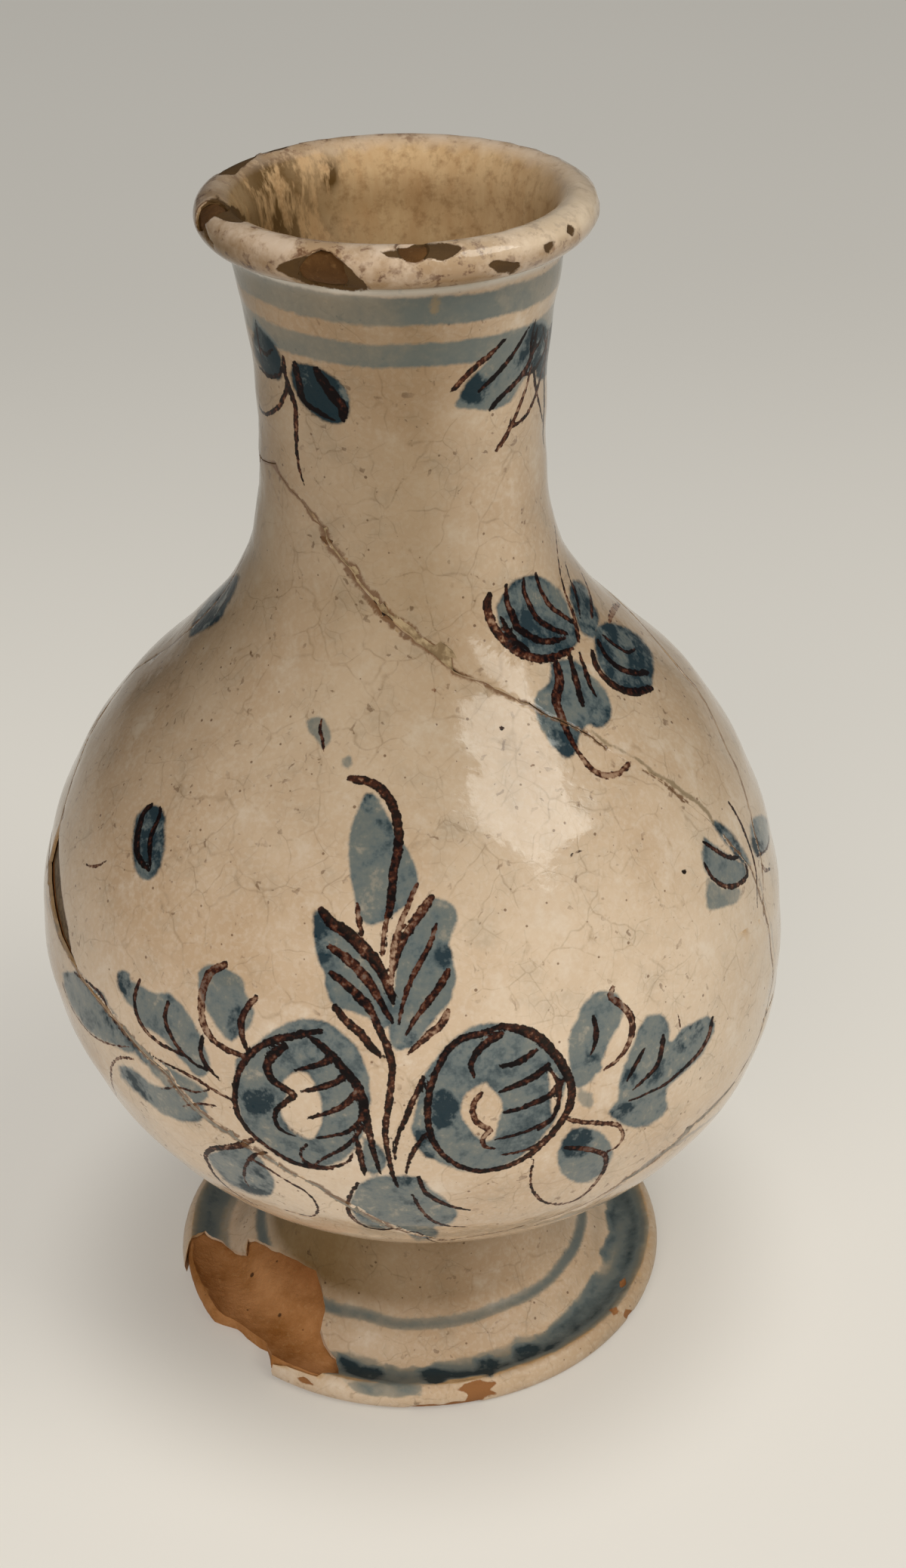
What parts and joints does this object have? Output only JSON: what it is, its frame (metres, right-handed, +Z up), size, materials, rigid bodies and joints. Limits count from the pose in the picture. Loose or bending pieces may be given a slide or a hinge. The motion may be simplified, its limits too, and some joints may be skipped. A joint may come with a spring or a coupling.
{
  "type": "ointment jar",
  "caption": "Bottle-shaped tin-glazed pharmacy jar for ointment, with rolled lip, flared neck, round belly and spreading pedestal foot, mended from broken sherds.",
  "frame": {"origin": "centre of the foot ring, on the surface that the jar stands on", "axes": "+Z up the jar's axis, -Y towards the middle of the painted front"},
  "size_m": [0.1368, 0.1368, 0.22],
  "materials": {
    "clay": "matt terracotta",
    "glaze": "gloss tin glaze",
    "filler": "matt plaster"
  },
  "bodies": {
    "root": {"neck_sherd": "clay", "neck_glaze": "glaze", "front_sherd": "clay", "front_glaze": "glaze", "left_sherd": "clay", "left_glaze": "glaze", "back_sherd": "clay", "back_glaze": "glaze", "base_sherd": "clay", "base_glaze": "glaze", "foot": "clay", "foot_glaze": "glaze", "shoulder_fill": "filler", "right_flank_fill": "filler", "lower_left_fill": "filler", "left_gap_fill": "filler"}
  },
  "joints": []
}
